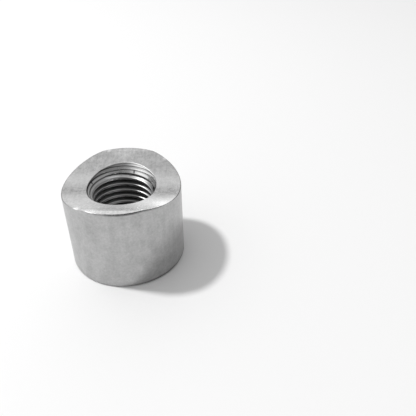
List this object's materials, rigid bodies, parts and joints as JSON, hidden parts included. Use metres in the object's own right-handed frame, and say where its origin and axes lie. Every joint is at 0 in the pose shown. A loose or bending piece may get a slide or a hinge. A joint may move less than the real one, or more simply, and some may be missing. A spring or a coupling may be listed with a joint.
{
  "type": "weld bung",
  "caption": "Round steel weld bung with a threaded through hole, a flat end and a saddle end coped to sit on a round tube.",
  "frame": {"origin": "centre of the bore at the flat end, on the surface that the bung stands on", "axes": "+Z along the bore towards the saddle end; +X along the saddle's valley, which is the axis of the tube that it sits on; +Y across the valley, towards a land"},
  "size_m": [0.02, 0.02, 0.0154],
  "materials": {
    "steel": "turned bare steel, satin, with fine tool marks on the saddle face and in the countersink"
  },
  "bodies": {
    "root": {"bung": "steel"}
  },
  "joints": []
}
